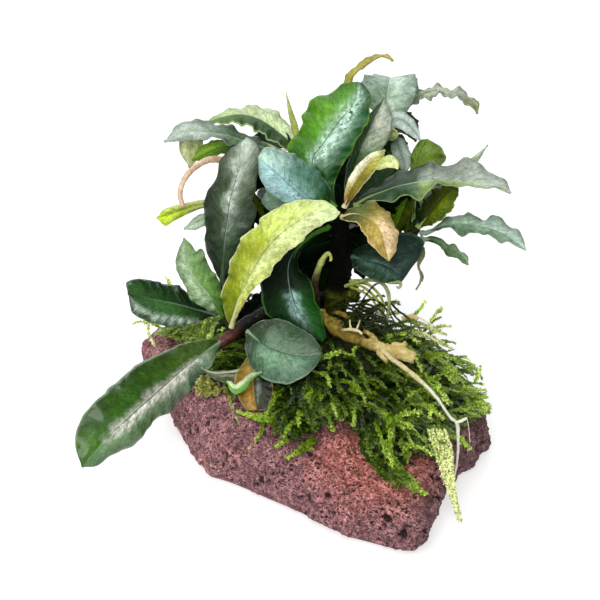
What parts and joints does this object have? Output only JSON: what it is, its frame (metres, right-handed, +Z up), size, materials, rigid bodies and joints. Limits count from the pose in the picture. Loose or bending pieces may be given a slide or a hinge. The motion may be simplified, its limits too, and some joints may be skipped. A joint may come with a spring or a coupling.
{
  "type": "water plant on a stone",
  "caption": "Epiphytic water plant with wavy oval leaves on short stems, rooted on a long mossy lava stone that lies flat.",
  "frame": {"origin": "on the stone's flat resting face, near its middle", "axes": "+Z up, -Y towards the viewer of the picture, +X to the right"},
  "size_m": [0.1134, 0.1215, 0.0909],
  "materials": {
    "leaf_grey": "satin",
    "leaf_dark": "gloss",
    "leaf_pale": "satin",
    "leaf_green": "satin",
    "leaf_yellow": "satin",
    "leaf_brown": "satin",
    "stem": "matte",
    "root": "matte",
    "moss": "matte",
    "stone": "matte"
  },
  "bodies": {
    "root": {"back_leaf_1": "leaf_dark", "back_leaf_2": "leaf_green", "back_leaf_3": "leaf_green", "back_leaf_4": "leaf_dark", "back_leaf_5": "leaf_dark", "back_leaf_6": "leaf_dark", "back_shoot": "stem", "big_right_leaf": "leaf_green", "blue_small_leaf": "leaf_grey", "blue_under_leaf": "leaf_grey", "blue_wet_leaf": "leaf_grey", "brown_leaf": "leaf_brown", "curl_leaf": "leaf_grey", "dark_gloss_leaf": "leaf_dark", "dark_left_leaf": "leaf_dark", "dark_under_leaf": "leaf_dark", "dried_leaf": "leaf_pale", "flower_stalk": "stem", "green_top_leaf": "leaf_green", "grey_back_leaf": "leaf_pale", "grey_curve_leaf": "leaf_grey", "grey_mid_leaf": "leaf_green", "hook_shoot": "stem", "left_moss_tuft": "moss", "left_rhizome": "stem", "left_shoot": "stem", "left_spathe": "leaf_yellow", "left_spike": "leaf_yellow", "light_back_leaf": "leaf_pale", "light_left_leaf": "leaf_pale", "long_left_leaf": "leaf_grey", "main_spathe": "leaf_yellow", "moss_cushion": "moss", "old_leaf": "leaf_brown", "olive_cup_leaf": "leaf_yellow", "olive_drop_leaf": "leaf_pale", "olive_fold_leaf": "leaf_yellow", "pale_bud": "leaf_pale", "pale_top_leaf": "leaf_pale", "right_moss_strand": "moss", "right_pale_leaf": "leaf_grey", "right_shoot": "stem", "right_small_leaf": "leaf_green", "right_spike": "leaf_grey", "round_front_leaf": "leaf_grey", "small_green_leaf": "leaf_green", "small_grey_leaf": "leaf_grey", "stone": "stone", "tall_grey_leaf": "leaf_grey", "tan_root": "root", "top_shoot": "stem", "trunk": "stem", "under_leaf": "leaf_grey", "upper_root": "root", "white_root": "root", "yellow_arch_leaf": "leaf_yellow", "yellow_top_leaf": "leaf_yellow"}
  },
  "joints": []
}
